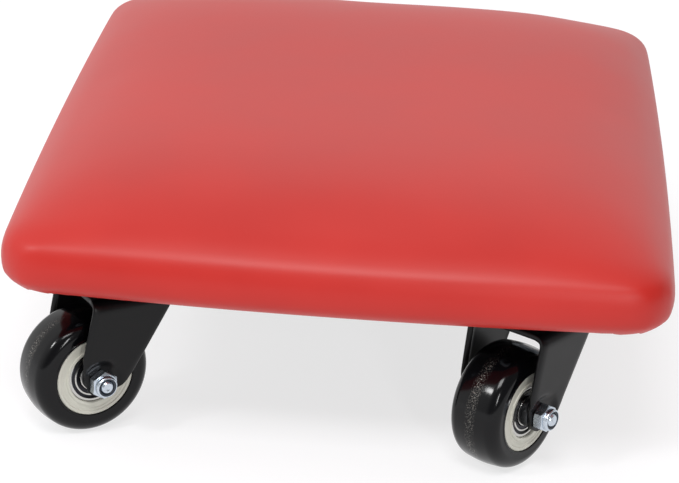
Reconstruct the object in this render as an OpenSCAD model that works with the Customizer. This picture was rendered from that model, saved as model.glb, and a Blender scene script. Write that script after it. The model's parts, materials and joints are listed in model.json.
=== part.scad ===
// Low rolling seat for garage work: a padded, covered board on four swivel casters.
// The origin is on the floor under the middle of the seat. X is across, Y front to back, Z up.
// Every caster is drawn in its own frame, with its swivel axis on Z and its wheel axle out along +X,
// and is then turned to its rest angle and moved to its corner.

/* [Seat pad] */
// Width of the pad at its widest straight part
pad_w = 260; // [220:1:340]
// Depth of the pad, front to back, at its corners
pad_d = 325; // [280:1:400]
// Height of the pad's upright side, from its underside to the start of the crown
pad_side_h = 22; // [18:1:60]
// Extra height of the crowned middle over the side
pad_crown = 21; // [16:1:30]
// Radius of the pad's corners seen from above
pad_corner_r = 17; // [10:1:30]
// Rounding of the top edge
pad_top_r = 8; // [4:1:9]
// Rounding of the bottom edge
pad_bottom_r = 8; // [4:1:9]
// How far the front and back edges bow out at their middle
pad_bow_y = 5; // [0:0.5:10]
// How far the side edges bow out at their middle
pad_bow_x = 2; // [0:0.5:8]
// Thickness of the upholstery cover
cover_t = 1.2; // [0.8:0.1:2]
// Width of the cover's turned-in edge under the board
cover_turn_in = 30; // [22:1:40]

/* [Board] */
// Thickness of the plywood board
board_t = 12; // [9:1:18]
// Gap between the board's edge and the flat part of the cover
board_gap = 1; // [0.5:0.5:4]
// Corner radius of the board
board_corner_r = 10; // [5:1:20]
// Thickness of the dust cover sheet
dust_t = 0.6; // [0.4:0.1:1.5]
// How far the dust cover stops inside the board's edge
dust_inset = 6; // [3:1:9]
// Length of a staple's crown
staple_l = 10; // [8:1:14]
// Staple wire width
staple_wire = 1; // [0.8:0.1:1.6]
// Depth that the staple legs reach into the board
staple_depth = 7; // [4:1:8]

/* [Casters] */
// Height from the floor to the top of the caster plate
caster_h = 68; // [66:1:90]
// Swivel axis distance in from the pad's left or right edge
caster_inset_x = 48; // [48:1:70]
// Swivel axis distance in from the pad's front or back edge
caster_inset_y = 47; // [46:1:70]
// Sideways distance from the swivel axis to the wheel axle
trail = 22; // [20:1:26]
// Rest angle of the front left caster, degrees from +X to the wheel
angle_front_left = -146; // [-180:1:180]
// Rest angle of the front right caster
angle_front_right = -125; // [-180:1:180]
// Rest angle of the rear left caster
angle_rear_left = -160; // [-180:1:180]
// Rest angle of the rear right caster
angle_rear_right = -112; // [-180:1:180]

/* [Caster plate and swivel] */
// Plate size across
plate_w = 46; // [42:1:56]
// Plate size front to back
plate_d = 58; // [52:1:66]
// Plate corner radius
plate_corner_r = 5; // [2:1:8]
// Plate thickness
plate_t = 2.3; // [2:0.1:3]
// Screw hole spacing across
hole_dx = 35; // [30:1:42]
// Screw hole spacing front to back
hole_dy = 47; // [42:1:54]
// Wood screw shank diameter
screw_d = 4.5; // [3.5:0.5:5]
// Wood screw head diameter
screw_head_d = 9; // [8:0.5:10]
// Wood screw head height
screw_head_h = 2.8; // [2:0.1:3.2]
// Wood screw length under its head
screw_l = 13; // [10:0.5:14]
// Radius of the ring that the upper balls run on
upper_race_r = 14; // [13:0.5:15]
// Upper ball diameter
upper_ball_d = 4; // [3:0.5:4]
// Number of upper balls
upper_ball_n = 16; // [10:1:18]
// Radius of the ring that the lower balls run on
lower_race_r = 9.5; // [9:0.5:10]
// Lower ball diameter
lower_ball_d = 3.2; // [2.5:0.1:3.2]
// Number of lower balls
lower_ball_n = 13; // [8:1:14]
// Running gap between balls and the races that they move against
race_gap = 0.25; // [0.15:0.05:0.4]
// Kingpin shank diameter
kingpin_d = 8; // [7:0.5:10]
// Clearance around the kingpin in the fork
kingpin_gap = 0.5; // [0.3:0.1:1]

/* [Fork] */
// Steel thickness of the fork
fork_t = 2.4; // [2:0.1:2.8]
// Height of the fork crown's top under the plate's top
crown_drop = 8; // [7.6:0.1:9]
// Inside gap between the legs at the axle
fork_gap = 28.2; // [27:0.2:31]
// Extra inside half gap at the top of the legs
fork_splay = 2.1; // [2:0.1:3.2]
// How far each leg steps in to its seat round the axle
fork_step = 1.5; // [1:0.1:1.9]
// Distance from the axle up to that step
fork_step_z = 8; // [7:0.5:10]
// Outer radius of the bend between crown and leg
fork_bend_r = 5; // [3.5:0.5:6]
// Radius of the rounded lower end of a leg
fork_end_r = 6.4; // [6:0.2:8]
// Distance from the axle to the leg's front edge at the crown
fork_front_x = 4; // [3:0.5:6]
// Crown disc radius
crown_r = 18.5; // [17.5:0.5:19]
// Distance from the axle to the leg's front edge where it is widest
fork_belly_x = 8.5; // [7:0.5:10]

/* [Wheel] */
// Wheel diameter
wheel_d = 50; // [46:1:50]
// Tyre width
tyre_w = 23; // [20:0.5:23.5]
// Radius of the tyre's shoulders
shoulder_r = 5.5; // [3:0.5:6]
// Drop of the tread from its middle to its shoulder
tread_crown = 0.5; // [0.1:0.1:1]
// Diameter of the wheel core
core_d = 32.8; // [30:0.2:36]
// Width of the wheel core
core_w = 22.4; // [21:0.2:23]
// Depth that the bearings sit in from the core's faces
bearing_recess = 0.9; // [0.4:0.1:1.5]
// Radius of the core's bore between the bearings
core_bore_r = 9.5; // [8.5:0.1:10]

/* [Bearing] */
// Bearing outside diameter
bearing_od = 22; // [22:1:22]
// Bearing bore
bearing_id = 8; // [8:1:8]
// Bearing width
bearing_w = 7; // [7:1:7]
// Outer diameter of the inner ring
inner_ring_od = 12.1; // [11.8:0.1:12.4]
// Inner diameter of the outer ring
outer_ring_id = 19.2; // [18.8:0.1:19.4]
// Bearing ball diameter
bearing_ball_d = 3.97; // [3.9:0.01:4]
// Number of balls in a bearing
bearing_ball_n = 7; // [7:1:8]
// Gap between the shield and the inner ring
shield_gap = 0.3; // [0.2:0.05:0.5]
// Shield thickness
shield_t = 0.4; // [0.3:0.05:0.5]

/* [Axle] */
// Axle bolt diameter
bolt_d = 6; // [6:1:6]
// Width across flats of the bolt head and of the nut
hex_af = 10; // [10:0.1:10]
// Bolt head height
bolt_head_h = 4; // [3.5:0.1:4.2]
// Height of the nut's hexagon
nut_hex_h = 4.2; // [3.6:0.1:4.6]
// Height of the nut's round collar
nut_collar_h = 1.9; // [1.5:0.1:2.4]
// Diameter of the nut's round collar
nut_collar_d = 8.9; // [8.6:0.1:9.4]
// Length of bolt that stands past the nut
bolt_stand = 0.4; // [0.2:0.1:3]
// Clearance between the bolt and the holes that it passes
bolt_gap = 0.1; // [0.05:0.05:0.3]
// Outer diameter of the spacer rings beside the bearings
spacer_od = 11.4; // [10:0.1:12]

/* [Hidden] */
CORNERS = ["front_left", "front_right", "rear_left", "rear_right"];
CASTER_NODES = ["top_plate", "kingpin", "lower_race", "fork", "swivel_balls", "axle_bolt", "lock_nut",
    "axle_spacers", "bearing_inner_rings", "bearing_balls", "bearing_outer_rings", "wheel_core", "tyre"];

side_x = [-1, 1, -1, 1];
side_y = [-1, -1, 1, 1];
rest_angle = [angle_front_left, angle_front_right, angle_rear_left, angle_rear_right];
caster_x = pad_w / 2 - caster_inset_x;
caster_y = pad_d / 2 - caster_inset_y;

// heights of the pad's layers
dust_z = caster_h;
cover_z = dust_z + dust_t;
board_z = cover_z + cover_t;
board_top = board_z + board_t;
board_w = pad_w - 2 * (pad_bottom_r + board_gap);
board_d = pad_d - 2 * (pad_bottom_r + board_gap);

// heights of the swivel's layers
crown_top = caster_h - crown_drop;
crown_under = crown_top - fork_t;
race_foot = crown_top + 0.8 * upper_ball_d;
upper_ball_z = crown_top + 0.45 * upper_ball_d;
lower_ball_z = crown_under - 0.4 * lower_ball_d;
lower_race_top = lower_ball_z - 0.25 * lower_ball_d;
lower_race_t = 2.2;
lower_race_z = lower_race_top - lower_race_t;
kingpin_head_r = 8;
kingpin_head_h = 1.4;

// across the wheel, from its middle plane
axle_z = wheel_d / 2;
leg_in = fork_gap / 2;
leg_out = leg_in + fork_t;
bearing_out = core_w / 2 - bearing_recess;
bearing_in = bearing_out - bearing_w;
nut_end = leg_out + nut_hex_h + nut_collar_h;
ball_track_r = (inner_ring_od + outer_ring_id) / 4;

$fn = 64;
SMALL = 0.01;

// ---- seat pad ----

PAD_SIDE_STEPS = 8;
PAD_ARC_STEPS = 5;
CROWN_POWER = 5;
TOP_LEAN = 1;

// one point of the pad's plan, on a rounded rectangle that is bowed out along its sides
function bowed(p, w, d, bow_x, bow_y) =
    let (u = 2 * p[0] / w, v = 2 * p[1] / d)
    [p[0] + u * bow_x * (1 - v * v), p[1] + v * bow_y * (1 - u * u)];

// quarter q of the rounded rectangle: a corner arc, then points along the straight that follows it
function plan_quarter(q, hw, hd, r) =
    let (
        sx = [1, -1, -1, 1][q],
        sy = [1, 1, -1, -1][q],
        corner = [sx * (hw - r), sy * (hd - r)],
        from = corner + r * [cos(90 * q + 90), sin(90 * q + 90)],
        to = q % 2 == 0 ? [-sx * (hw - r), from[1]] : [from[0], -sy * (hd - r)]
    )
    concat(
        [for (i = [0 : PAD_ARC_STEPS]) corner + r * [cos(90 * (q + i / PAD_ARC_STEPS)), sin(90 * (q + i / PAD_ARC_STEPS))]],
        [for (i = [1 : PAD_SIDE_STEPS - 1]) from + (to - from) * i / PAD_SIDE_STEPS]
    );

// the pad's plan at a distance in from its widest line
function pad_plan(in, shrink) =
    let (
        w = pad_w - 2 * shrink,
        d = pad_d - 2 * shrink,
        r = max(pad_corner_r - shrink - in / 2, 3)
    )
    [for (q = [0 : 3]) each
        [for (p = plan_quarter(q, w / 2 - in, d / 2 - in, r)) bowed(p, w, d, pad_bow_x, pad_bow_y)]];

// height that the crown adds over a point of the plan
function crown_at(p) =
    let (
        u = min(abs(2 * p[0] / pad_w), 1),
        v = min(abs(2 * p[1] / pad_d), 1)
    )
    pad_crown * (1 - pow(u, CROWN_POWER)) * (1 - pow(v, CROWN_POWER));

// rings from the underside up: [distance in, height, share of the crown]
function pad_rings(shrink) =
    let (
        foot = cover_z + shrink,
        head = cover_z + pad_side_h - shrink,
        rb = pad_bottom_r - shrink,
        rt = pad_top_r - shrink,
        span = min(pad_w, pad_d) / 2 - shrink
    )
    concat(
        [for (i = [0 : 4]) let (a = 22.5 * i) [rb * (1 - sin(a)), foot + rb * (1 - cos(a)), 0]],
        [for (i = [0 : 5]) let (a = 18 * i)
            [rt * (1 - cos(a)) + TOP_LEAN * sin(a), head - rt * (1 - sin(a)), i / 5]],
        [for (i = [1 : 6]) [rt + TOP_LEAN + (span - rt - TOP_LEAN - 20) * i / 6, head, 1]]
    );

// closed pillow of the pad's outer shape, made smaller all round by a distance
module pad_body(shrink) {
    rings = pad_rings(shrink);
    count = len(pad_plan(0, shrink));
    points = [for (ring = rings) each
        [for (p = pad_plan(ring[0], shrink)) [p[0], p[1], ring[1] + ring[2] * crown_at(p)]]];
    walls = [for (k = [0 : len(rings) - 2]) for (i = [0 : count - 1])
        let (a = k * count + i, b = k * count + (i + 1) % count)
        each [[a, b + count, b], [a, a + count, b + count]]];
    foot_face = [for (i = [0 : count - 1]) i];
    head_face = [for (i = [count - 1 : -1 : 0]) (len(rings) - 1) * count + i];
    polyhedron(points = points, faces = concat([foot_face, head_face], walls));
}

// flat sheet with rounded corners, standing on z = 0
module rounded_sheet(w, d, t, r) {
    translate([-w / 2 + r, -d / 2, 0]) cube([w - 2 * r, d, t]);
    translate([-w / 2, -d / 2 + r, 0]) cube([w, d - 2 * r, t]);
    for (sx = [-1, 1])
        for (sy = [-1, 1])
            translate([sx * (w / 2 - r), sy * (d / 2 - r), 0]) cylinder(h = t, r = r);
}

module at_casters() {
    for (i = [0 : 3])
        translate([side_x[i] * caster_x, side_y[i] * caster_y, 0]) children();
}

module at_plate_holes() {
    for (sx = [-1, 1])
        for (sy = [-1, 1])
            translate([sx * hole_dx / 2, sy * hole_dy / 2, 0]) children();
}

module screw_shanks() {
    at_casters() at_plate_holes()
        translate([0, 0, caster_h - plate_t - SMALL]) cylinder(h = screw_l, d = screw_d, $fn = 32);
}

module base_board() {
    color("burlywood")
    difference() {
        translate([0, 0, board_z]) rounded_sheet(board_w, board_d, board_t, board_corner_r);
        screw_shanks();
    }
}

module foam_core() {
    color("khaki")
    intersection() {
        pad_body(cover_t);
        translate([-pad_w, -pad_d, board_top]) cube([2 * pad_w, 2 * pad_d, pad_side_h + pad_crown]);
    }
}

module vinyl_cover() {
    window_w = board_w - 2 * cover_turn_in;
    window_d = board_d - 2 * cover_turn_in;
    color("firebrick")
    difference() {
        pad_body(0);
        pad_body(cover_t);
        translate([-window_w / 2, -window_d / 2, cover_z - 1]) cube([window_w, window_d, cover_t + 2]);
        screw_shanks();
    }
}

module dust_cover() {
    color("dimgray")
    difference() {
        translate([0, 0, dust_z])
            rounded_sheet(board_w - 2 * dust_inset, board_d - 2 * dust_inset, dust_t, board_corner_r);
        screw_shanks();
    }
}

// one staple driven up into the board, its crown along X
module staple() {
    translate([-staple_l / 2, -staple_wire / 2, dust_z - staple_wire])
        cube([staple_l, staple_wire, staple_wire]);
    for (sx = [-1, 1])
        translate([sx * (staple_l - staple_wire) / 2 - staple_wire / 2, -staple_wire / 2, dust_z - SMALL])
            cube([staple_wire, staple_wire, staple_depth]);
}

STAPLE_IN = 5;
STAPLES_PER_SIDE = 5;

module cover_staples() {
    run_x = 2 * caster_x - plate_w - 2 * staple_l;
    run_y = 2 * caster_y - plate_d - 2 * staple_l;
    line_x = board_w / 2 - dust_inset - STAPLE_IN;
    line_y = board_d / 2 - dust_inset - STAPLE_IN;
    color("silver") {
        for (s = [-1, 1])
            for (i = [0 : STAPLES_PER_SIDE - 1])
                translate([run_x * (i / (STAPLES_PER_SIDE - 1) - 0.5), s * line_y, 0]) staple();
        for (s = [-1, 1])
            for (i = [0 : STAPLES_PER_SIDE - 1])
                translate([s * line_x, run_y * (i / (STAPLES_PER_SIDE - 1) - 0.5), 0]) rotate(90) staple();
    }
}

module plate_screws() {
    color("silver") {
        screw_shanks();
        at_casters() at_plate_holes()
            translate([0, 0, caster_h - plate_t - screw_head_h])
                cylinder(h = screw_head_h, d1 = 0.7 * screw_head_d, d2 = screw_head_d, $fn = 32);
    }
}

// ---- swivel ----

// balls on a ring around Z
module ball_ring(n, r, d, z) {
    for (i = [0 : n - 1])
        rotate(i * 360 / n) translate([r, 0, z]) sphere(d = d, $fn = 24);
}

// ring-shaped groove for balls, around Z
module ball_groove(r, groove_r, z) {
    rotate_extrude() translate([r, z]) circle(r = groove_r, $fn = 32);
}

module top_plate() {
    color("dimgray")
    difference() {
        union() {
            translate([0, 0, caster_h - plate_t]) rounded_sheet(plate_w, plate_d, plate_t, plate_corner_r);
            translate([0, 0, race_foot])
                cylinder(h = caster_h - plate_t - race_foot + SMALL, r = upper_race_r + upper_ball_d);
        }
        translate([0, 0, race_foot - 1])
            cylinder(h = caster_h - plate_t - race_foot + 1, r = upper_race_r - upper_ball_d);
        ball_groove(upper_race_r, upper_ball_d / 2 + race_gap, upper_ball_z);
        translate([0, 0, caster_h - plate_t - 1]) cylinder(h = plate_t + 2, d = kingpin_d);
        at_plate_holes()
            translate([0, 0, caster_h - plate_t - 1]) cylinder(h = plate_t + 2, d = screw_d + 0.8, $fn = 32);
    }
}

module kingpin() {
    color("silver") {
        translate([0, 0, lower_race_z]) cylinder(h = caster_h - lower_race_z, d = kingpin_d);
        translate([0, 0, lower_race_z - kingpin_head_h]) cylinder(h = kingpin_head_h, r = kingpin_head_r);
    }
}

module lower_race() {
    color("gray")
    difference() {
        translate([0, 0, lower_race_z]) cylinder(h = lower_race_t, r = lower_race_r + lower_ball_d);
        ball_groove(lower_race_r, lower_ball_d / 2 + race_gap, lower_ball_z);
        translate([0, 0, lower_race_z - 1]) cylinder(h = lower_race_t + 2, d = kingpin_d);
    }
}

module swivel_balls() {
    color("lightgray") {
        ball_ring(upper_ball_n, upper_race_r, upper_ball_d, upper_ball_z);
        ball_ring(lower_ball_n, lower_race_r, lower_ball_d, lower_ball_z);
    }
}

// ---- fork ----

// points of an arc, from one angle to another
function arc(c, r, a1, a2, n) =
    [for (i = [0 : n]) let (a = a1 + (a2 - a1) * i / n) c + r * [cos(a), sin(a)]];

// half of the bent sheet's outline in Y and Z, from the crown's middle out and down the leg
function bend_half(out, bend_r, top) =
    let (step_z = axle_z + fork_step_z, bend_z = crown_top - fork_bend_r)
    concat(
        arc([leg_out + fork_splay - fork_bend_r, bend_z], bend_r, 90, 0, 6),
        [[leg_out + fork_step - out, step_z + fork_step], [leg_out - out, step_z], [leg_out - out, 0]]
    );

function flipped(points) = [for (i = [len(points) - 1 : -1 : 0]) [-points[i][0], points[i][1]]];

// cross-section of the fork: crown and both legs, seen along X
module fork_section() {
    outer = bend_half(0, fork_bend_r, crown_top);
    inner = bend_half(fork_t, fork_bend_r - fork_t, crown_under);
    polygon(concat(
        flipped(outer),
        outer,
        [for (i = [len(inner) - 1 : -1 : 0]) inner[i]],
        [for (p = inner) [-p[0], p[1]]]
    ));
}

// side outline of a leg, seen along Y: rounded round the axle, bellied in front and raked behind
module leg_outline() {
    front = trail + fork_front_x;
    rise = crown_top - axle_z;
    rake = trail + crown_r / 2;
    polygon(concat(
        [
            [-crown_r / 2, crown_top + 1],
            [front, crown_top + 1],
            [trail + 0.8 * fork_belly_x, axle_z + 0.59 * rise],
            [trail + fork_belly_x, axle_z + 0.31 * rise],
            [trail + 0.93 * fork_belly_x, axle_z + 0.15 * rise]
        ],
        arc([trail, axle_z], fork_end_r, 6, -128, 10),
        [
            [trail - 0.27 * rake, axle_z - 0.09 * rise],
            [trail - 0.45 * rake, axle_z + 0.08 * rise],
            [trail - 0.61 * rake, axle_z + 0.30 * rise],
            [trail - 0.93 * rake, axle_z + 0.79 * rise]
        ]
    ));
}

module fork() {
    color([0.12, 0.12, 0.13])
    difference() {
        union() {
            intersection() {
                rotate([90, 0, 90]) translate([0, 0, -2 * trail]) linear_extrude(4 * trail) fork_section();
                rotate([90, 0, 0]) translate([0, 0, -2 * trail]) linear_extrude(4 * trail) leg_outline();
            }
            translate([0, 0, crown_under]) cylinder(h = fork_t, r = crown_r);
        }
        translate([0, 0, crown_under - 1]) cylinder(h = fork_t + 2, r = kingpin_d / 2 + kingpin_gap);
        ball_groove(upper_race_r, upper_ball_d / 2 + SMALL, upper_ball_z);
        ball_groove(lower_race_r, lower_ball_d / 2 + SMALL, lower_ball_z);
        translate([trail, 0, axle_z]) rotate([90, 0, 0])
            cylinder(h = 2 * leg_out + 2, d = bolt_d + 2 * bolt_gap, center = true);
    }
}

// ---- wheel, drawn around Z and laid on the axle ----

module on_axle() {
    translate([trail, 0, axle_z]) rotate([-90, 0, 0]) children();
}

// a ring around Z between two heights
module ring(r_in, r_out, z1, z2) {
    difference() {
        translate([0, 0, z1]) cylinder(h = z2 - z1, r = r_out);
        translate([0, 0, z1 - 1]) cylinder(h = z2 - z1 + 2, r = r_in);
    }
}

module both_sides() {
    children();
    mirror([0, 0, 1]) children();
}

module axle_bolt() {
    color("silver")
    on_axle() {
        translate([0, 0, -leg_out]) cylinder(h = leg_out + nut_end + bolt_stand, d = bolt_d, $fn = 32);
        translate([0, 0, -leg_out - bolt_head_h]) cylinder(h = bolt_head_h, d = hex_af / cos(30), $fn = 6);
    }
}

module lock_nut() {
    color("lightsteelblue")
    on_axle()
    difference() {
        translate([0, 0, leg_out]) {
            cylinder(h = nut_hex_h, d = hex_af / cos(30), $fn = 6);
            cylinder(h = nut_hex_h + nut_collar_h, d = nut_collar_d);
        }
        cylinder(h = 2 * nut_end, d = bolt_d);
    }
}

module axle_spacers() {
    bolt_hole_r = bolt_d / 2 + bolt_gap;
    color("slategray")
    on_axle() {
        ring(bolt_hole_r, bearing_id / 2, -leg_in, leg_in);
        both_sides() ring(bearing_id / 2, spacer_od / 2, bearing_out, leg_in);
    }
}

module bearing_groove() {
    both_sides() ball_groove(ball_track_r, bearing_ball_d / 2 + race_gap, (bearing_in + bearing_out) / 2);
}

module bearing_inner_rings() {
    color("silver")
    on_axle()
    difference() {
        both_sides() ring(bearing_id / 2, inner_ring_od / 2, bearing_in, bearing_out);
        bearing_groove();
    }
}

module bearing_balls() {
    color("lightgray")
    on_axle()
    both_sides() ball_ring(bearing_ball_n, ball_track_r, bearing_ball_d, (bearing_in + bearing_out) / 2);
}

module bearing_outer_rings() {
    shield_in = inner_ring_od / 2 + shield_gap;
    shield_set = 0.5;
    color("silver")
    on_axle() {
        difference() {
            both_sides() ring(outer_ring_id / 2, bearing_od / 2, bearing_in, bearing_out);
            bearing_groove();
        }
        both_sides() {
            ring(shield_in, outer_ring_id / 2, bearing_out - shield_set - shield_t, bearing_out - shield_set);
            ring(shield_in, outer_ring_id / 2, bearing_in + shield_set, bearing_in + shield_set + shield_t);
        }
    }
}

module wheel_core() {
    step_in = bearing_od / 2 + 1.3;
    step_out = core_d / 2 - 1.4;
    step_deep = 0.5;
    color("antiquewhite")
    on_axle()
    difference() {
        cylinder(h = core_w, d = core_d, center = true);
        cylinder(h = core_w + 2, r = core_bore_r, center = true);
        both_sides() {
            translate([0, 0, bearing_in]) cylinder(h = core_w, d = bearing_od);
            ring(step_in, step_out, core_w / 2 - step_deep, core_w);
        }
    }
}

// half of the tyre's section as [radius, distance from the middle plane], from the core out
function tyre_half() =
    let (
        side = tyre_w / 2,
        shoulder = wheel_d / 2 - tread_crown - shoulder_r,
        flat_end = side - shoulder_r
    )
    concat(
        [[core_d / 2, core_w / 2], [core_d / 2 + 0.6, side]],
        arc([shoulder, flat_end], shoulder_r, 90, 4, 6),
        [[wheel_d / 2 - tread_crown / 4, flat_end / 2]]
    );

module tyre() {
    half = tyre_half();
    color([0.10, 0.10, 0.11])
    on_axle()
    rotate_extrude($fn = 96)
    polygon(concat(
        half,
        [[wheel_d / 2, 0]],
        [for (i = [len(half) - 1 : -1 : 0]) [half[i][0], -half[i][1]]]
    ));
}

// ---- placing ----

module caster_piece(name) {
    if (name == "kingpin") kingpin();
    if (name == "lower_race") lower_race();
    if (name == "fork") fork();
    if (name == "swivel_balls") swivel_balls();
    if (name == "axle_bolt") axle_bolt();
    if (name == "lock_nut") lock_nut();
    if (name == "axle_spacers") axle_spacers();
    if (name == "bearing_inner_rings") bearing_inner_rings();
    if (name == "bearing_balls") bearing_balls();
    if (name == "bearing_outer_rings") bearing_outer_rings();
    if (name == "wheel_core") wheel_core();
    if (name == "tyre") tyre();
}

// the plate stays square to the board; the other pieces of a caster turn to its rest angle
module placed(i, name) {
    translate([side_x[i] * caster_x, side_y[i] * caster_y, 0])
        if (name == "top_plate") top_plate();
        else rotate(rest_angle[i]) caster_piece(name);
}

base_board();
foam_core();
vinyl_cover();
dust_cover();
cover_staples();
plate_screws();
for (i = [0 : 3])
    for (piece = CASTER_NODES)
        placed(i, piece);
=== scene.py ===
import json
import math

import bmesh
import bpy
import numpy as np
from mathutils import Matrix, Vector, noise


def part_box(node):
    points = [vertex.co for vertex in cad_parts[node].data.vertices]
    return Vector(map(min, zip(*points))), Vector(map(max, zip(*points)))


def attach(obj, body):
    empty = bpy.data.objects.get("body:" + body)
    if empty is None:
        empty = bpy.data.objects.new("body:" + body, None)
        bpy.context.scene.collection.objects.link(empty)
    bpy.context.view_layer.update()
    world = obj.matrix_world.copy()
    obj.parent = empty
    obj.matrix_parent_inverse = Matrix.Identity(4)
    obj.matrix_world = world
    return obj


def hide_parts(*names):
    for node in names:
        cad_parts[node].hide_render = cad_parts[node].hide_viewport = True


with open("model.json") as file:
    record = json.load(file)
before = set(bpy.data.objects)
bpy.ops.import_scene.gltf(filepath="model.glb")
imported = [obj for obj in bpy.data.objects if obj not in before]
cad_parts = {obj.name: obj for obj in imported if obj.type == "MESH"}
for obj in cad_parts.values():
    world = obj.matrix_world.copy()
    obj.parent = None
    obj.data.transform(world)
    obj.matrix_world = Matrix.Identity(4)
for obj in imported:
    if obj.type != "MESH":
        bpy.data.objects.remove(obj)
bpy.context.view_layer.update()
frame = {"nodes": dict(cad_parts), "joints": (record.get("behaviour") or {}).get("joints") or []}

scene = bpy.context.scene
MM = 0.001  # shapes are drawn in millimetres and become metres when they are put in place

# ---- Camera ----
# A long lens looks down on the front of the seat from about knee height, a little to the right
# of its middle, and leans slightly, so that the seat's front edge drops towards the right.
CAMERA_PLACE = Vector((48.0, -1120.6, 488.5)) * MM
CAMERA_TURN = math.radians(-2.78)
CAMERA_DROP = math.radians(22.02)
CAMERA_LEAN = math.radians(3.01)
CAMERA_LENS = 145.5

camera = bpy.data.objects.new("camera", bpy.data.cameras.new("camera"))
scene.collection.objects.link(camera)
scene.camera = camera
camera.data.lens = CAMERA_LENS
camera.data.clip_start = 0.05
camera.matrix_world = (
    Matrix.Translation(CAMERA_PLACE)
    @ Matrix.Rotation(-CAMERA_TURN, 4, "Z")
    @ Matrix.Rotation(math.pi / 2 - CAMERA_DROP, 4, "X")
    @ Matrix.Rotation(CAMERA_LEAN, 4, "Z")
)


# ---- Studio ----
# White paper on the floor and a white surround, dimmer in front and to the right. A softbox high
# in front gives the sheen along the seat's front edge, and two smaller ones light the tyres.
FLOOR_SIZE = 5.0
FLOOR_GLOW = 0.70
SURROUND_BRIGHT = 1.02
SURROUND_DIM = 0.26
BRIGHT_TOWARDS = (-0.6, 0.78, 0.18)


def linear(hex_colour):
    """An sRGB hex colour as the linear colour that a shader socket takes."""
    parts = [int(hex_colour[i:i + 2], 16) / 255 for i in (1, 3, 5)]
    return [p / 12.92 if p <= 0.04045 else ((p + 0.055) / 1.055) ** 2.4 for p in parts] + [1.0]


def node(tree, kind, sockets=None, tones=(), **settings):
    """Adds a node. Settings are its options, sockets give an input a value or what feeds it, and
    tones are the colours of a ramp's stops."""
    made = tree.nodes.new(kind)
    for name, value in settings.items():
        setattr(made, name, value)
    for stop, tone in enumerate(tones):
        made.color_ramp.elements[stop].color = linear(tone)
    for name, value in (sockets or {}).items():
        if isinstance(value, bpy.types.NodeSocket):
            tree.links.new(value, made.inputs[name])
        else:
            made.inputs[name].default_value = value
    return made


def new_material(name):
    """An empty material and its node tree."""
    material = bpy.data.materials.new(name)
    material.use_nodes = True
    material.node_tree.nodes.clear()
    return material, material.node_tree


def surface(tree, sockets):
    """Ends a material with its shader."""
    shader = node(tree, "ShaderNodeBsdfPrincipled", sockets)
    node(tree, "ShaderNodeOutputMaterial", {"Surface": shader.outputs["BSDF"]})


def softbox(name, width, height, glow, place, aim):
    """A soft rectangular light of an even brightness, pointed at a place."""
    light = bpy.data.lights.new(name, "AREA")
    light.shape = "RECTANGLE"
    light.size = width
    light.size_y = height
    light.energy = glow * math.pi * width * height
    lamp = bpy.data.objects.new(name, light)
    lamp.location = place
    lamp.rotation_euler = (Vector(aim) - Vector(place)).to_track_quat("-Z", "Y").to_euler()
    scene.collection.objects.link(lamp)


# matt paper: diffuse white with no gloss, lit a little from below so that shadows stay faint
paper, tree = new_material("matt_studio_paper")
surface(tree, {
    "Base Color": linear("#98989a"), "Roughness": 0.9, "Specular IOR Level": 0.1,
    "Emission Color": linear("#ffffff"), "Emission Strength": FLOOR_GLOW,
})

floor_shape = bmesh.new()
bmesh.ops.create_grid(floor_shape, x_segments=1, y_segments=1, size=FLOOR_SIZE / 2)
floor = bpy.data.objects.new("floor", bpy.data.meshes.new("floor"))
floor_shape.to_mesh(floor.data)
floor.data.materials.append(paper)
scene.collection.objects.link(floor)

scene.view_settings.view_transform = "Standard"
scene.world = bpy.data.worlds.new("white_surround")
scene.world.use_nodes = True
surround = scene.world.node_tree
toward = node(surround, "ShaderNodeTexCoord").outputs["Generated"]
behind = node(surround, "ShaderNodeVectorMath", {
    0: toward, 1: BRIGHT_TOWARDS,
}, operation="DOT_PRODUCT")
white = node(surround, "ShaderNodeMapRange", {
    "Value": behind.outputs["Value"], "From Min": -0.55, "From Max": 0.45,
    "To Min": SURROUND_DIM, "To Max": SURROUND_BRIGHT,
}, interpolation_type="SMOOTHSTEP")
surround.links.new(white.outputs["Result"], surround.nodes["Background"].inputs["Strength"])
surround.nodes["Background"].inputs["Color"].default_value = linear("#ffffff")
softbox("front_softbox", 0.6, 0.5, 13.5, (-0.05, -1.05, 1.42), (0, 0, 0.08))
softbox("left_softbox", 0.2, 0.24, 45, (-1.05, -0.95, 1.1), (-0.1, -0.14, 0.04))
softbox("right_strip", 0.1, 0.4, 34, (0.52, -1.5, 0.55), (0.07, -0.15, 0.04))


# ---- Board ----
# A sheet of nine-ply birch plywood carries everything. It is sawn, its corners are rounded off,
# and it stays hidden: the cover wraps its edge and a dust sheet closes it underneath.
PLY_THICKNESS = 1.33
GRAIN_WIDTH = 3.5

# birch plywood: sawn and lightly sanded, straight pale grain, darker glue lines between plies
plywood, tree = new_material("birch_plywood")
place = node(tree, "ShaderNodeTexCoord").outputs["Object"]
grain_place = node(tree, "ShaderNodeMapping", {"Vector": place, "Scale": (1, 0.05, 1)})
grain = node(tree, "ShaderNodeTexNoise", {
    "Vector": grain_place.outputs["Vector"], "Scale": 1 / (GRAIN_WIDTH * MM), "Detail": 5,
})
height = node(tree, "ShaderNodeSeparateXYZ", {"Vector": place}).outputs["Z"]
ply = node(tree, "ShaderNodeMath", {0: height, 1: PLY_THICKNESS * MM}, operation="DIVIDE")
ply_part = node(tree, "ShaderNodeMath", {0: ply.outputs[0]}, operation="FRACT")
glue_line = node(tree, "ShaderNodeMath", {0: ply_part.outputs[0], 1: 0.12}, operation="LESS_THAN")
wood = node(tree, "ShaderNodeValToRGB", {"Fac": grain.outputs["Fac"]}, ("#b98f5c", "#dcbd8c"))
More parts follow.
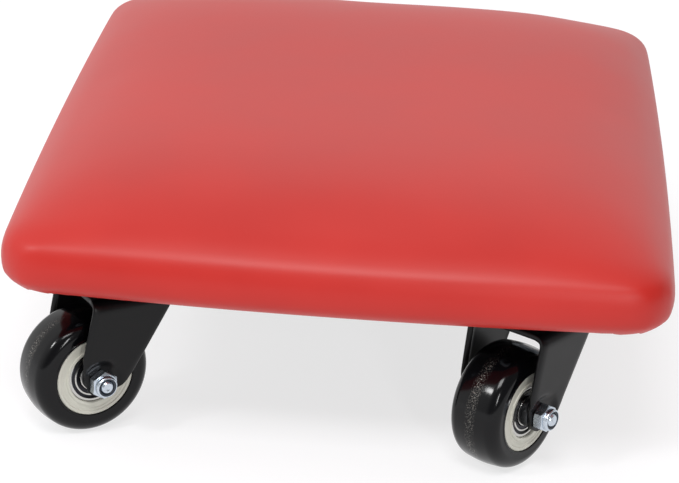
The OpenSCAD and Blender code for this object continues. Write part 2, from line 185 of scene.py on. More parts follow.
layered = node(tree, "ShaderNodeMix", {
    "Factor": glue_line.outputs[0], 6: wood.outputs["Color"], 7: linear("#7a5a38"),
}, data_type="RGBA")
sawn = node(tree, "ShaderNodeBump", {"Height": grain.outputs["Fac"], "Distance": 0.1 * MM})
surface(tree, {
    "Base Color": layered.outputs[2], "Roughness": 0.7, "Normal": sawn.outputs["Normal"],
})
frame["nodes"]["base_board"].material_slots[0].material = plywood


# ---- Foam ----
# A block of upholstery foam, glued to the board and shaped to a low crown that falls away to
# rounded edges. It fills the cover and stops at the board's upper face.
CROWN_POWER = 5
PAD_BOW = Vector((2, 5, 0))  # how far the sides bow out between their corners
PAD_SIDE = 22  # height of the pad's side, up to where the crown starts
PAD_CORNER = 17
PAD_EDGE = 8
VOXEL = 4
CROWN_PRESSED = 2.4  # how much lower the taut cover presses the crown than it was drawn
FOAM_INSET = 1.6
FOAM_CELL = 0.9

pad_low, pad_high = (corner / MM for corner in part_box("vinyl_cover"))
pad_size = pad_high - pad_low - 2 * PAD_BOW
pad_crown = pad_size.z - PAD_SIDE - CROWN_PRESSED
board_low, board_high = (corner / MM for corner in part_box("base_board"))


def faced_out(shape):
    """Turns a shape's faces to one side, which is outward where it is closed."""
    bmesh.ops.recalc_face_normals(shape, faces=shape.faces)


def made_parts(made, kind, key="geom"):
    """The parts of one kind that an operator made."""
    return [part for part in made[key] if isinstance(part, kind)]


def pushed(shape, faces, step):
    """Extrudes faces by a step, and gives the faces at the new end."""
    made = bmesh.ops.extrude_face_region(shape, geom=faces)
    bmesh.ops.translate(shape, vec=step, verts=made_parts(made, bmesh.types.BMVert))
    return made_parts(made, bmesh.types.BMFace)


def rounded_rectangle(width, depth, corner, segments):
    """A flat rectangle at z = 0 with its corners rounded off."""
    shape = bmesh.new()
    bmesh.ops.create_grid(shape, x_segments=1, y_segments=1, size=0.5)
    bmesh.ops.scale(shape, vec=(width, depth, 1), verts=shape.verts)
    bmesh.ops.bevel(
        shape, geom=shape.verts[:], offset=corner, segments=segments, profile=0.5,
        material=-1, affect="VERTICES",
    )
    return shape


def worked(shape, kind, **settings):
    """Runs one modifier over a bmesh and gives its result as a new bmesh."""
    piece = bpy.data.objects.new("bench_piece", bpy.data.meshes.new("bench_piece"))
    shape.to_mesh(piece.data)
    shape.free()
    scene.collection.objects.link(piece)
    modifier = piece.modifiers.new(kind, kind)
    for name, value in settings.items():
        setattr(modifier, name, value)
    done = bmesh.new()
    done.from_object(piece, bpy.context.evaluated_depsgraph_get())
    bpy.data.objects.remove(piece)
    return done


def raised(point, inset):
    """A point of the flat-topped pad, moved out with the bowed sides and up with the crown."""
    u = max(-1.0, min(1.0, 2 * point.x / pad_size.x))
    v = max(-1.0, min(1.0, 2 * point.y / pad_size.y))
    turn = (point.z - (PAD_SIDE - PAD_EDGE)) / (PAD_EDGE - inset)
    share = math.asin(max(0.0, min(1.0, turn))) / (math.pi / 2)
    crown = pad_crown * (1 - abs(u) ** CROWN_POWER) * (1 - abs(v) ** CROWN_POWER)
    bow = Vector((u * PAD_BOW.x * (1 - v * v), v * PAD_BOW.y * (1 - u * u), share * crown))
    return point + bow


def pad_form(inset):
    """The pad's closed outer shape on an even mesh, smaller all round by an inset."""
    width, depth = pad_size.x - 2 * inset, pad_size.y - 2 * inset
    form = rounded_rectangle(width, depth, PAD_CORNER - inset, 6)
    bmesh.ops.translate(form, vec=(0, 0, inset), verts=form.verts)
    pushed(form, form.faces[:], (0, 0, PAD_SIDE - 2 * inset))
    rims = [e for e in form.edges if abs(e.verts[0].co.z - e.verts[1].co.z) < 0.01]
    bmesh.ops.bevel(
        form, geom=rims, offset=PAD_EDGE - inset, segments=6, profile=0.5,
        material=-1, affect="EDGES",
    )
    faced_out(form)
    form = worked(form, "REMESH", mode="VOXEL", voxel_size=VOXEL)
    for vert in form.verts:
        vert.co = raised(vert.co, inset)
    bmesh.ops.smooth_vert(form, verts=form.verts, factor=0.5, use_axis_x=True, use_axis_y=True,
                          use_axis_z=True)
    bmesh.ops.translate(form, vec=(0, 0, pad_low.z), verts=form.verts)
    return form


def make_piece(name, shape, finish, body, place=Matrix.Scale(MM, 4), sharp=35):
    """A finished piece. Its drawn position stays in the attribute 'bench', in millimetres."""
    for face in shape.faces:
        face.smooth = True
    for edge in shape.edges:
        edge.smooth = len(edge.link_faces) < 2 or edge.calc_face_angle(0) < math.radians(sharp)
    mesh = bpy.data.meshes.new(name)
    shape.to_mesh(mesh)
    bench = mesh.attributes.new("bench", "FLOAT_VECTOR", "POINT")
    bench.data.foreach_set("vector", [part for vert in mesh.vertices for part in vert.co])
    mesh.transform(place)
    piece = bpy.data.objects.new(name, mesh)
    scene.collection.objects.link(piece)
    for material in finish:
        mesh.materials.append(material)
    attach(piece, body)
    return piece


# upholstery foam: open-cell polyurethane, cream, matt, with small bubbles cut through, each
# bubble's pit coloured darker as painted shade
foam, tree = new_material("open_cell_foam")
place = node(tree, "ShaderNodeTexCoord").outputs["Object"]
cells = node(tree, "ShaderNodeTexVoronoi", {"Vector": place, "Scale": 1 / (FOAM_CELL * MM)})
foam_pit_shade_tone = node(
    tree, "ShaderNodeValToRGB", {"Fac": cells.outputs["Distance"]}, ("#b9a56a", "#e6d79e"),
)
pores = node(tree, "ShaderNodeBump", {"Height": cells.outputs["Distance"], "Distance": 0.3 * MM})
surface(tree, {
    "Base Color": foam_pit_shade_tone.outputs["Color"], "Roughness": 0.95,
    "Normal": pores.outputs["Normal"],
})

foam_shape = pad_form(FOAM_INSET)
bmesh.ops.bisect_plane(
    foam_shape, geom=foam_shape.verts[:] + foam_shape.edges[:] + foam_shape.faces[:],
    plane_co=(0, 0, board_high.z + 0.2), plane_no=(0, 0, -1), clear_outer=True,
)
cut_rim = [edge for edge in foam_shape.edges if edge.is_boundary]
bmesh.ops.edgeloop_fill(foam_shape, edges=cut_rim)
faced_out(foam_shape)
foam_pad = make_piece("foam_pad", foam_shape, [foam], "root", sharp=60)
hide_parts("foam_core")


# ---- Cover ----
# One sheet of red vinyl-coated fabric, pulled tight over the foam, wrapped round the board's
# edge, pleated at the corners and turned in underneath, where staples hold it.
START_INSET = -0.4  # the form starts this much proud of the drawn pad, and swells on its flats
MOST_SWELL = 1.4
SWELL_EVENED = 12  # rounds of averaging, which take the small wrinkles out of a taut cover
PRESSURE = 4
FRAMES = 20
VINYL = 1.2
TURNED_IN = 30
PLEATS = 5
PLEAT_DEPTH = 0.9
PLEAT_REACH = 30
PLEAT_RISE = 2.5
GRAIN_CELL = 1.1
MOTTLE = 45


def swollen(form, pressure, cap, held):
    """A closed form in millimetres, swollen outward as cloth under pressure where it isn't held."""
    piece = bpy.data.objects.new("cloth_piece", bpy.data.meshes.new("cloth_piece"))
    form.to_mesh(piece.data)
    piece.data.transform(Matrix.Scale(MM, 4))
    scene.collection.objects.link(piece)
    group = piece.vertex_groups.new(name="held")
    group.add([v.index for v in form.verts if held(v.co)], 1.0, "REPLACE")
    cloth = piece.modifiers.new("cloth", "CLOTH")
    cloth.settings.vertex_group_mass = "held"
    cloth.settings.use_pressure = True
    cloth.settings.uniform_pressure_force = pressure
    cloth.settings.effector_weights.gravity = 0
    cloth.settings.quality = 6
    cloth.collision_settings.use_collision = False
    cloth.point_cache.frame_start = 1
    cloth.point_cache.frame_end = FRAMES
    for moment in range(1, FRAMES + 1):
        scene.frame_set(moment)
    after = piece.evaluated_get(bpy.context.evaluated_depsgraph_get()).data
    form.normal_update()
    form.verts.index_update()
    moved = [at.co / MM - vert.co for vert, at in zip(form.verts, after.vertices)]
    swell = [max(0.0, min(cap, by.dot(vert.normal))) for vert, by in zip(form.verts, moved)]
    beside = [[edge.other_vert(vert).index for edge in vert.link_edges] for vert in form.verts]
    for _ in range(SWELL_EVENED):
        near = [[swell[index] for index in others] for others in beside]
        swell = [(out + sum(others)) / (1 + len(others)) for out, others in zip(swell, near)]
    for vert, out in zip(form.verts, swell):
        vert.co += vert.normal * out
    bpy.data.objects.remove(piece)
    scene.frame_set(1)
    return form


def pleated(point):
    """A point of the cover's underside near a corner, dropped into the folds gathered there."""
    inner = pad_size / 2 - Vector((PLEAT_REACH, PLEAT_REACH, 0))
    out = Vector((abs(point.x) - inner.x, abs(point.y) - inner.y))
    rise = (point.z - pad_low.z) / PLEAT_RISE
    if out.x <= 0 or out.y <= 0 or rise > 1:
        return point
    turn = math.atan2(out.y, out.x) / (math.pi / 2) * PLEATS
    fold = (turn % 1) ** 2
    reach = min(1.0, out.length / PLEAT_REACH) * (1 - max(0.0, rise)) ** 2
    middle = 1 - abs(2 * turn / PLEATS - 1) ** 3
    return point - Vector((0, 0, PLEAT_DEPTH * fold * reach * middle))


# vinyl-coated fabric: soft PVC with a fine pressed grain, satin, slightly uneven in tone
vinyl, tree = new_material("red_vinyl_leatherette")
place = node(tree, "ShaderNodeTexCoord").outputs["Object"]
mottle = node(tree, "ShaderNodeTexNoise", {"Vector": place, "Scale": 1 / (MOTTLE * MM)})
tone = node(tree, "ShaderNodeValToRGB", {"Fac": mottle.outputs["Fac"]}, ("#b01e16", "#b6221a"))
tone.color_ramp.elements[0].position = 0.3
tone.color_ramp.elements[1].position = 0.7
grain = node(tree, "ShaderNodeTexVoronoi", {
    "Vector": place, "Scale": 1 / (GRAIN_CELL * MM), "Smoothness": 0.6,
}, feature="SMOOTH_F1")
creases = node(tree, "ShaderNodeBump", {
    "Height": grain.outputs["Distance"], "Strength": 0.12, "Distance": 0.1 * MM,
})
satin = node(tree, "ShaderNodeMapRange", {
    "Value": mottle.outputs["Fac"], "To Min": 0.40, "To Max": 0.46,
})
surface(tree, {
    "Base Color": tone.outputs["Color"], "Roughness": satin.outputs["Result"],
    "Specular IOR Level": 0.4, "Normal": creases.outputs["Normal"],
})

# knitted backing: matt off-white polyester loops on the vinyl's inner face
backing, tree = new_material("knit_backing")
place = node(tree, "ShaderNodeTexCoord").outputs["Object"]
loops = node(tree, "ShaderNodeTexWave", {"Vector": place, "Scale": 1 / (2.0 * MM)})
knit = node(tree, "ShaderNodeBump", {"Height": loops.outputs["Fac"], "Distance": 0.2 * MM})
surface(tree, {
    "Base Color": linear("#d8d2c4"), "Roughness": 0.95, "Normal": knit.outputs["Normal"],
})

cover_shape = pad_form(START_INSET)
for vert in cover_shape.verts:
    if vert.co.z < pad_low.z + START_INSET + 0.5:
        vert.co.z = pad_low.z + START_INSET
under = pad_low.z + START_INSET + 0.3
cover_shape = swollen(cover_shape, PRESSURE, MOST_SWELL, lambda co: co.z < under)
for vert in cover_shape.verts:
    low = 1 - min(1.0, max(0.0, (vert.co.z - pad_low.z - START_INSET) / PAD_EDGE))
    vert.co.z -= START_INSET * low
cover_shape = worked(cover_shape, "SUBSURF", levels=1, render_levels=1)
window = (board_high - board_low) / 2 - Vector((TURNED_IN, TURNED_IN, 0))
inside = [
    face for face in cover_shape.faces
    if face.calc_center_median().z < pad_low.z + 1
    and abs(face.calc_center_median().x) < window.x
    and abs(face.calc_center_median().y) < window.y
]
bmesh.ops.delete(cover_shape, geom=inside, context="FACES")
for vert in cover_shape.verts:
    vert.co = pleated(vert.co)
cover = make_piece("seat_cover", cover_shape, [vinyl, backing], "root", sharp=50)
wall = cover.modifiers.new("cover_thickness", "SOLIDIFY")
wall.thickness = VINYL * MM
wall.offset = -1
wall.material_offset = 1
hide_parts("vinyl_cover")


# ---- Dust sheet ----
# A black non-woven sheet, cut to a rounded rectangle and stapled under the board over the
# cover's raw edge. It is pulled flat but ripples a little, and its edge is folded under.
SHEET = 0.5
SHEET_CORNER = 10
SHEET_STEP = 5
HEM = 11
HEM_DROP = 0.2
RIPPLE = 0.25
RIPPLE_LENGTH = 38
BOND_PITCH = 1.6
FIBRE = 0.35

# spunbond polypropylene: dull black fibres, pressed together at a grid of small points
spunbond, tree = new_material("black_spunbond_cloth")
place = node(tree, "ShaderNodeTexCoord").outputs["Object"]
bonds = node(tree, "ShaderNodeTexVoronoi", {
    "Vector": place, "Scale": 1 / (BOND_PITCH * MM), "Randomness": 0.0,
})
fibres = node(tree, "ShaderNodeTexNoise", {
    "Vector": place, "Scale": 1 / (FIBRE * MM), "Detail": 3, "Distortion": 2.5,
})
fibre_tone = node(
    tree, "ShaderNodeValToRGB", {"Fac": fibres.outputs["Fac"]}, ("#101012", "#35353a"),
)
pressed = node(tree, "ShaderNodeMath", {
    0: bonds.outputs["Distance"], 1: 0.35, 2: fibres.outputs["Fac"],
}, operation="MULTIPLY_ADD")
weave = node(tree, "ShaderNodeBump", {"Height": pressed.outputs[0], "Distance": 0.15 * MM})
surface(tree, {
    "Base Color": fibre_tone.outputs["Color"], "Roughness": 0.85,
    "Sheen Weight": 0.2, "Normal": weave.outputs["Normal"],
})

sheet_low, sheet_high = (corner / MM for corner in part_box("dust_cover"))
sheet_size = sheet_high - sheet_low


def sheet_point(point):
    """A point of a flat rectangle, moved onto the sheet: round corners, folded edge, ripples."""
    half = sheet_size / 2
    over = Vector((abs(point.x) - half.x + SHEET_CORNER, abs(point.y) - half.y + SHEET_CORNER))
    if over.x > 0 and over.y > 0:
        over = over.normalized() * max(over)
        point.x = math.copysign(half.x - SHEET_CORNER + over.x, point.x)
        point.y = math.copysign(half.y - SHEET_CORNER + over.y, point.y)
    edge = min(half.x - abs(point.x), half.y - abs(point.y))
    slack = max(0.0, min(1.0, (edge - HEM) / 30))
    ripple = noise.noise(Vector((point.x, point.y * 0.6, 0)) / RIPPLE_LENGTH)
    drop = HEM_DROP if edge < HEM else 0
    return Vector((point.x, point.y, sheet_high.z - drop + RIPPLE * slack * ripple))


sheet_shape = bmesh.new()
bmesh.ops.create_grid(
    sheet_shape, x_segments=round(sheet_size.x / SHEET_STEP),
    y_segments=round(sheet_size.y / SHEET_STEP), size=0.5,
)
bmesh.ops.scale(sheet_shape, vec=(sheet_size.x, sheet_size.y, 1), verts=sheet_shape.verts)
for vert in sheet_shape.verts:
    vert.co = sheet_point(vert.co)
dust_sheet = make_piece("dust_sheet", sheet_shape, [spunbond], "root")
wall = dust_sheet.modifiers.new("cloth_thickness", "SOLIDIFY")
wall.thickness = SHEET * MM
wall.offset = -1
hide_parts("dust_cover")


# ---- Staples ----
# Wire staples with a flat crown, driven up through the dust sheet and the cover into the
# board, five along each side, from flattened zinc-plated wire.
STAPLE = 10
WIRE = 1.0
STAPLE_BEND = 1.3
STAPLE_LEG = 7.0
STAPLES_PER_SIDE = 5
STAPLE_RUN = Vector((98, 153))  # from the first to the last staple of a side


def zinc_plate(name, tint, roughness):
    """Bright zinc plating on steel: metallic, bluish, finely clouded in its gloss."""
    material, tree = new_material(name)
    place = node(tree, "ShaderNodeTexCoord").outputs["Object"]
    clouds = node(tree, "ShaderNodeTexNoise", {"Vector": place, "Scale": 1 / (1.5 * MM)})
    gloss = node(tree, "ShaderNodeMapRange", {
        "Value": clouds.outputs["Fac"], "To Min": roughness - 0.07, "To Max": roughness + 0.09,
    })
    scuffs = node(tree, "ShaderNodeTexNoise", {
        "Vector": place, "Scale": 1 / (0.4 * MM), "Detail": 4,
    })
    relief = node(tree, "ShaderNodeBump", {
        "Height": scuffs.outputs["Fac"], "Strength": 0.25, "Distance": 0.05 * MM,
    })
    surface(tree, {
        "Base Color": linear(tint), "Metallic": 1.0, "Roughness": gloss.outputs["Result"],
        "Normal": relief.outputs["Normal"],
    })
    return material


zinc = zinc_plate("bright_zinc_plate", "#c3ccd6", 0.24)


def bent(shape, faces, centre, angle, steps):
    """Sweeps faces round a line along Y, and gives the faces at the new end."""
    made = bmesh.ops.spin(
        shape, geom=faces, cent=centre, axis=(0, 1, 0), angle=angle, steps=steps,
    )
    return made_parts(made, bmesh.types.BMFace, "geom_last")


def joined(shapes):
    """Several bmeshes as one, each left as it is."""
    whole = bmesh.new()
    for shape in shapes:
        mesh = bpy.data.meshes.new("part")
        shape.to_mesh(mesh)
        whole.from_mesh(mesh)
        bpy.data.meshes.remove(mesh)
    return whole


def copied(shape, place):
    """A copy of a bmesh, moved by a matrix."""
    copy = shape.copy()
    bmesh.ops.transform(copy, matrix=place, verts=copy.verts)
    return copy


def staple_shape():
    """One staple, its crown along X under z = 0 and its legs up."""
    shape = bmesh.new()
    bmesh.ops.create_grid(shape, x_segments=1, y_segments=1, size=WIRE / 2)
    side = STAPLE / 2 - WIRE / 2
    bmesh.ops.translate(shape, vec=(-side, 0, STAPLE_LEG), verts=shape.verts)
    low = STAPLE_BEND - WIRE / 2
    end = pushed(shape, shape.faces[:], (0, 0, low - STAPLE_LEG))
    end = bent(shape, end, (STAPLE_BEND - side, 0, low), -math.pi / 2, 4)
    end = pushed(shape, end, (2 * (side - STAPLE_BEND), 0, 0))
    end = bent(shape, end, (side - STAPLE_BEND, 0, low), -math.pi / 2, 4)
    pushed(shape, end, (0, 0, STAPLE_LEG - low))
    faced_out(shape)
    return shape


staple_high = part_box("cover_staples")[1] / MM
one_staple = staple_shape()
staples = []
for side in (-1, 1):
    for i in range(STAPLES_PER_SIDE):
        along = i / (STAPLES_PER_SIDE - 1) - 0.5
        tilt = Matrix.Rotation(math.radians(3 * math.sin(9 * i + side)), 4, "Z")
        across = Vector((STAPLE_RUN.x * along, side * (staple_high.y - WIRE / 2), sheet_low.z))
        beside = Vector((side * (staple_high.x - WIRE / 2), STAPLE_RUN.y * along, sheet_low.z))
        staples.append(copied(one_staple, Matrix.Translation(across) @ tilt))
        turned_tilt = tilt @ Matrix.Rotation(math.pi / 2, 4, "Z")
        staples.append(copied(one_staple, Matrix.Translation(beside) @ turned_tilt))
staple_set = make_piece("staple_set", joined(staples), [zinc], "root")
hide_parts("cover_staples")


# ---- Casters: where they stand ----
# Four alike swivel casters, one at each corner. Their pieces are drawn once, with the swivel
# axis on Z and the axle along Y, and are then turned to where each caster rests.
CORNERS = ["front_left", "front_right", "rear_left", "rear_right"]
joints = {joint["name"]: joint for joint in frame["joints"]}


def caster_place(corner):
    """The matrix that puts a drawn caster at its corner, in metres."""
    pivot = Vector(joints[f"{corner}_swivel_turn"]["pos_m"])
    axle = Vector(joints[f"{corner}_wheel_spin"]["pos_m"])
    turn = math.atan2(axle.y - pivot.y, axle.x - pivot.x)
    return (
        Matrix.Translation((pivot.x, pivot.y, 0))
        @ Matrix.Rotation(turn, 4, "Z")
        @ Matrix.Scale(MM, 4)
    )


def drawn_box(name):
    """A caster node's lowest and highest corners in the drawn caster's frame, in millimetres."""
    back = caster_place("front_left").inverted()
    points = [back @ vert.co for vert in frame["nodes"][f"front_left_{name}"].data.vertices]
    low = Vector([min(point[i] for point in points) for i in range(3)])
    high = Vector([max(point[i] for point in points) for i in range(3)])
    return low, high


tyre_low, tyre_high = drawn_box("tyre")
fork_high = drawn_box("fork")[1]
core_low, core_high = drawn_box("wheel_core")
nut_low, nut_high = drawn_box("lock_nut")
bolt_low, bolt_high = drawn_box("axle_bolt")
bearing_high = drawn_box("bearing_outer_rings")[1]
race_low, race_high = drawn_box("lower_race")
pin_low, pin_high = drawn_box("kingpin")
wheel_r = (tyre_high.z - tyre_low.z) / 2
axle = Vector(((tyre_low.x + tyre_high.x) / 2, 0, wheel_r))
on_axle = Matrix.Translation(axle) @ Matrix.Rotation(-math.pi / 2, 4, "X")


def turned(outline, steps=64, closed=True):
    """A shape turned round Z from an outline of radii and heights."""
    shape = bmesh.new()
    points = [shape.verts.new((radius, 0, height)) for radius, height in outline]
    for first, second in zip(points, points[1:]):
        shape.edges.new((first, second))
    if closed:
        shape.edges.new((points[-1], points[0]))
    bmesh.ops.spin(
        shape, geom=shape.verts[:] + shape.edges[:], cent=(0, 0, 0), axis=(0, 0, 1),
        angle=2 * math.pi, steps=steps, use_merge=True,
    )
    bmesh.ops.remove_doubles(shape, verts=shape.verts, dist=0.0005)
    faced_out(shape)
    return shape


def softened(shape, offset, segments=2, angle=40):
    """A shape with its sharp edges rounded over."""
    sharp = [
        edge for edge in shape.edges
        if edge.is_manifold and edge.calc_face_angle() > math.radians(angle)
    ]
    bmesh.ops.bevel(
        shape, geom=sharp, offset=offset, segments=segments, profile=0.5,
        material=-1, affect="EDGES", clamp_overlap=True,
    )
    return shape


def combined(shape, other, operation):
    """Two closed shapes united, cut or crossed."""
    tool = bpy.data.objects.new("bench_tool", bpy.data.meshes.new("bench_tool"))
    other.to_mesh(tool.data)
    other.free()
    scene.collection.objects.link(tool)
    done = worked(shape, "BOOLEAN", operation=operation, object=tool)
    bpy.data.objects.remove(tool)
    return done


def rod(radius, low, high, steps=48):
    """A plain closed rod round Z, used to cut holes."""
    return turned([(0, low), (radius, low), (radius, high), (0, high)], steps, closed=False)


def prism(flats, low, high):
    """A six-sided prism round Z, its flats this far apart, chamfered like a nut or a head."""
    shape = bmesh.new()
    bmesh.ops.create_circle(
        shape, cap_ends=True, segments=6, radius=flats / 2 / math.cos(math.pi / 6),
    )
    bmesh.ops.translate(shape, vec=(0, 0, low), verts=shape.verts)
    pushed(shape, shape.faces[:], (0, 0, high - low))
    faced_out(shape)
    half = flats / 2
    chamfer = turned([
        (0, low), (half * 0.94, low), (half * 1.16, low + half * 0.13),
        (half * 1.16, high - half * 0.13), (half * 0.94, high), (0, high),
    ], closed=False)
    return combined(shape, chamfer, "INTERSECT")


def arc(centre, radius, start, end, steps):
    """Points of an arc, angles in degrees."""
    angles = [math.radians(start + (end - start) * i / steps) for i in range(steps + 1)]
    return [(centre[0] + radius * math.cos(a), centre[1] + radius * math.sin(a)) for a in angles]


def caster_pieces(name, shape, finish, body, place=Matrix.Identity(4), sharp=35):
    """The same piece on each of the four casters, standing for its CAD node."""
    for corner in CORNERS:
        here = caster_place(corner)
        if name == "top_plate":
            here = Matrix.Translation(here.translation) @ Matrix.Scale(MM, 4)
        rides = "root" if body == "root" else f"{corner}_{body}"
        piece = make_piece(
            f"{name}_{corner}", shape.copy(), finish, rides, here @ place, sharp,
        )
        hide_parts(f"{corner}_{name}")


# ---- Top plates ----
# A pressed steel plate with four screw holes. A ring pressed down from it forms the upper
# ball race. It is coated black with the fork, before assembly.
PLATE = 2.3
PLATE_CORNER = 5
PLATE_HOLES = Vector((35, 47))
PLATE_HOLE = 5.3
RACE_R = 14
RACE_BALL = 4.0
RACE_IN = 10.2
RACE_TO_FORK = 3.2  # the gap that the upper balls keep open
PEEL = 0.5

# black electro-coat on steel: thin satin paint with a faint orange peel
black_coat, tree = new_material("satin_black_coated_steel")
place = node(tree, "ShaderNodeAttribute", attribute_name="bench").outputs["Vector"]
peel = node(tree, "ShaderNodeTexNoise", {"Vector": place, "Scale": 1 / PEEL, "Detail": 2})
wear = node(tree, "ShaderNodeTexNoise", {"Vector": place, "Scale": 1 / 9, "Detail": 4})
skin = node(tree, "ShaderNodeBump", {
    "Height": peel.outputs["Fac"], "Strength": 0.12, "Distance": 0.05 * MM,
})
gloss = node(tree, "ShaderNodeMapRange", {
    "Value": wear.outputs["Fac"], "To Min": 0.28, "To Max": 0.42,
})
coat_tone = node(tree, "ShaderNodeValToRGB", {"Fac": wear.outputs["Fac"]}, ("#050506", "#0a0a0c"))
surface(tree, {
    "Base Color": coat_tone.outputs["Color"], "Roughness": gloss.outputs["Result"],
    "Specular IOR Level": 0.24, "Normal": skin.outputs["Normal"],
})

plate_low, plate_high = (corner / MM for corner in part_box("front_left_top_plate"))
plate_size = plate_high - plate_low
plate_top = plate_high.z
race_foot = plate_low.z

plate_shape = rounded_rectangle(plate_size.x, plate_size.y, PLATE_CORNER, 8)
bmesh.ops.translate(plate_shape, vec=(0, 0, plate_top), verts=plate_shape.verts)
pushed(plate_shape, plate_shape.faces[:], (0, 0, -PLATE))
faced_out(plate_shape)
plate_shape = softened(plate_shape, 0.4)
under_plate = plate_top - PLATE
race_out = RACE_R + RACE_BALL
groove = RACE_BALL / 2 + 0.25
ball_z = race_foot - RACE_TO_FORK + 0.45 * RACE_BALL
race_ring = turned(
    [(RACE_IN, under_plate + 1), (RACE_IN, race_foot + 0.3), (RACE_IN + 0.3, race_foot)]
    + [(r, z) for r, z in arc((RACE_R, ball_z), groove, 142, 38, 8)]
    + [(race_out - 0.5, race_foot), (race_out, race_foot + 0.5), (race_out + 0.6, under_plate),
       (race_out + 0.6, under_plate + 1)],
    72,
)
plate_shape = combined(plate_shape, race_ring, "UNION")
holes = [rod(pin_high.x, under_plate - 5, plate_top + 1)]
for x in (-1, 1):
    for y in (-1, 1):
        spot = Matrix.Translation((x * PLATE_HOLES.x / 2, y * PLATE_HOLES.y / 2, 0))
        holes.append(copied(rod(PLATE_HOLE / 2, under_plate - 1, plate_top + 1, 32), spot))
plate_shape = combined(plate_shape, joined(holes), "DIFFERENCE")
caster_pieces("top_plate", plate_shape, [black_coat], "root")


# ---- Plate screws ----
# Sixteen wood screws with pan heads and cross recesses, driven up through the plates into the
# board. They are cold headed, thread rolled and zinc plated.
SCREW_HEAD = 9.0
HEAD_HIGH = 2.8
SCREW_LENGTH = 13.0
SHANK = 4.5
RECESS = Vector((0.95, 4.6, 1.9))
THREAD_PITCH = 1.8


def screw_shape():
    """One wood screw, head up, its head's seat at z = 0."""
    head = turned([
        (0, HEAD_HIGH), (1.8, HEAD_HIGH - 0.05), (3.1, HEAD_HIGH - 0.45),
        (4.1, HEAD_HIGH - 1.3), (SCREW_HEAD / 2, HEAD_HIGH - 2.3), (SCREW_HEAD / 2 - 0.1, 0),
        (SHANK / 2, 0), (SHANK / 2 - 0.4, -1), (SHANK / 2 - 0.6, 3 - SCREW_LENGTH),
        (0, -SCREW_LENGTH),
    ], 32, closed=False)
    for turn in (0, math.pi / 2):
        slot = bmesh.new()
        bmesh.ops.create_cube(slot, size=1)
        taper = [vert for vert in slot.verts if vert.co.z < 0]
        bmesh.ops.scale(slot, vec=(0.6, 0.5, 1), verts=taper)
        bmesh.ops.scale(slot, vec=RECESS, verts=slot.verts)
        bmesh.ops.translate(slot, vec=(0, 0, HEAD_HIGH - RECESS.z / 2 + 0.2), verts=slot.verts)
        slot = copied(slot, Matrix.Rotation(turn, 4, "Z"))
        head = combined(head, slot, "DIFFERENCE")
    turns = int((SCREW_LENGTH - 5) / THREAD_PITCH)
    thread = bmesh.new()
    root = SHANK / 2 - 0.6
    corners = [(root, -0.5), (SHANK / 2, 0), (root, 0.5)]
    section = thread.faces.new([thread.verts.new((r, 0, z - 2.2)) for r, z in corners])
    steps = 16 * turns
    bmesh.ops.spin(
        thread, geom=[section], cent=(0, 0, 0), axis=(0, 0, 1), angle=2 * math.pi * turns,
        steps=steps, dvec=(0, 0, -THREAD_PITCH * turns / steps),
    )
    faced_out(thread)
    return joined([head, thread])


one_screw = screw_shape()
screws = []
for number, corner in enumerate(CORNERS):
    pivot = caster_place(corner).translation / MM
    for x in (-1, 1):
        for y in (-1, 1):
            hole = Vector((x * PLATE_HOLES.x / 2, y * PLATE_HOLES.y / 2, under_plate))
            spot = Matrix.Translation(Vector((pivot.x, pivot.y, 0)) + hole)
            drive = Matrix.Rotation(0.7 * (number + 2 * x + 3 * y), 4, "Z")
            screws.append(copied(one_screw, spot @ drive @ Matrix.Rotation(math.pi, 4, "X")))
screw_set = make_piece("plate_screw_set", joined(screws), [zinc], "root")
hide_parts("plate_screws")


# ---- Kingpins and lower races ----
# The kingpin is a thick zinc-plated rivet: it passes the plate, both ball races and the fork,
# and its domed head closes the swivel from below, against a turned cup for the lower balls.
LOWER_R = 9.5
LOWER_BALL = 3.2
PIN_R = 4.0

head_z = race_low.z
pin_shape = turned([
    (0, pin_high.z - 0.1), (PIN_R - 0.3, pin_high.z - 0.1), (PIN_R, pin_high.z - 0.4),
    (PIN_R, head_z), (pin_high.x, head_z), (pin_high.x, head_z - 0.4),
    (pin_high.x - 0.9, pin_low.z + 0.35), (pin_high.x * 0.55, pin_low.z), (0, pin_low.z),
], 48, closed=False)
caster_pieces("kingpin", pin_shape, [zinc], "root")

lower_z = race_high.z + 0.25 * LOWER_BALL
race_shape = turned(
    [(PIN_R + 0.05, race_low.z + 0.2), (PIN_R + 0.05, race_high.z)]
    + arc((LOWER_R, lower_z), LOWER_BALL / 2 + 0.25, 205, 335, 10)
    + [(race_high.x - 0.4, race_high.z), (race_high.x, race_high.z - 0.4),
       (race_high.x, race_low.z + 0.9), (race_high.x - 0.9, race_low.z),
       (pin_high.x, race_low.z), (PIN_R + 0.3, race_low.z)],
    64,
)
caster_pieces("lower_race", race_shape, [zinc], "root")


# ---- Forks ----
# The fork is blanked from sheet steel and pressed to a U, its legs stepped in round the axle and
# their edges drawn in slightly. It is pierced for the kingpin and the axle, and coated black.
FORK_SHEET = 2.4
FORK_BEND = 5
FORK_END = 6.4
FORK_SPLAY = 0.6  # how far a leg leans out between its step and its top
FORK_STEP = 1.5  # how far a leg steps in round the axle
STEP_FROM = 7.0
STEP_TO = 10.0
LEAN_FROM = 10.0
CROWN_R = 18.5
CROWN_FRONT = 26
LEG_ROLL = 1.3
ROLL_WIDTH = 4.0
BOLT_HOLE_R = 3.1
PIN_HOLE_R = 4.5
REAR_EDGE = [(20.0, 18.0), (21.9, 13.6), (24.5, 10.6), (27.8, 7.9), (35.5, 2.9), (52.6, -7.1),
             (55.0, -8.3)]  # height, then how far forward
FRONT_EDGE = [(25.0, 28.4), (30.2, 29.9), (35.8, 30.5), (45.6, 28.8), (55.0, 27.0), (60.0, 26.2)]

